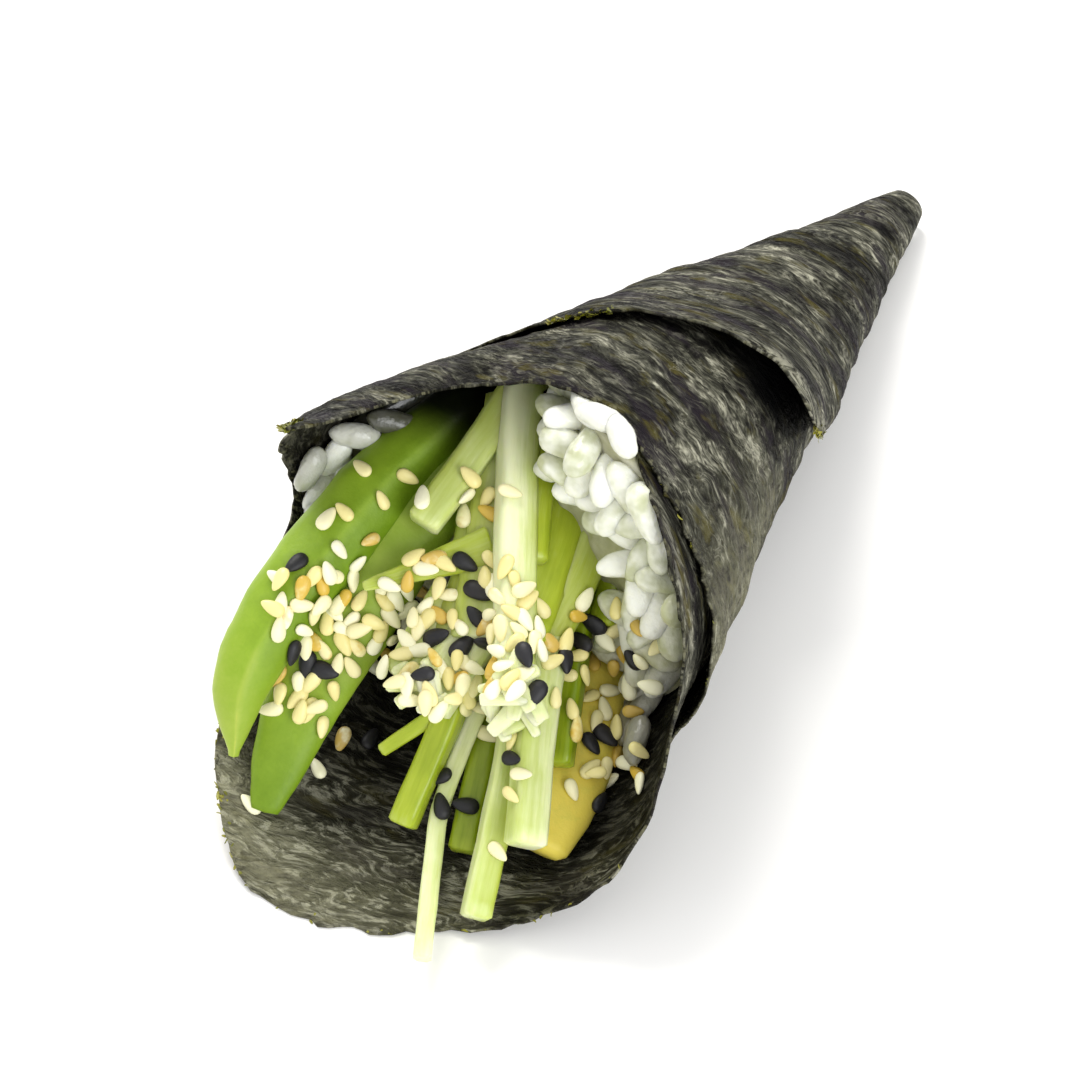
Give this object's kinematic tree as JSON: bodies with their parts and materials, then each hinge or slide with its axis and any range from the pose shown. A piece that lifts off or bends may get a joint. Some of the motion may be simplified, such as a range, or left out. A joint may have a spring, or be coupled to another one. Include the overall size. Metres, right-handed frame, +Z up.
{
  "type": "temaki hand roll",
  "caption": "Cone of toasted nori lying on its side, filled with rice, avocado slices and cucumber sticks under a sprinkling of sesame seeds.",
  "frame": {"origin": "bottom centre of the bounding box, on the ground the roll lies on", "axes": "+Z up; the roll lies along Y with its tip towards +Y and its open mouth towards -Y; +X is the right side seen from the mouth"},
  "size_m": [0.0564, 0.1338, 0.049],
  "materials": {
    "nori": "dark grey-green dried seaweed, fibrous, slight sheen",
    "rice": "moist white cooked rice",
    "cucumber": "pale green wet cut cucumber with cream sesame",
    "avocado_green": "green outer flesh of avocado with cream sesame",
    "avocado_dark_green": "darker green outer flesh of avocado with cream sesame",
    "avocado_yellow": "yellow inner flesh of avocado"
  },
  "bodies": {
    "root": {"nori_sheet": "nori", "rice": "rice", "cucumber_bundle": "cucumber", "avocado_slice_left": "avocado_green", "avocado_slice_middle": "avocado_dark_green", "avocado_slice_right": "avocado_yellow"}
  },
  "joints": []
}
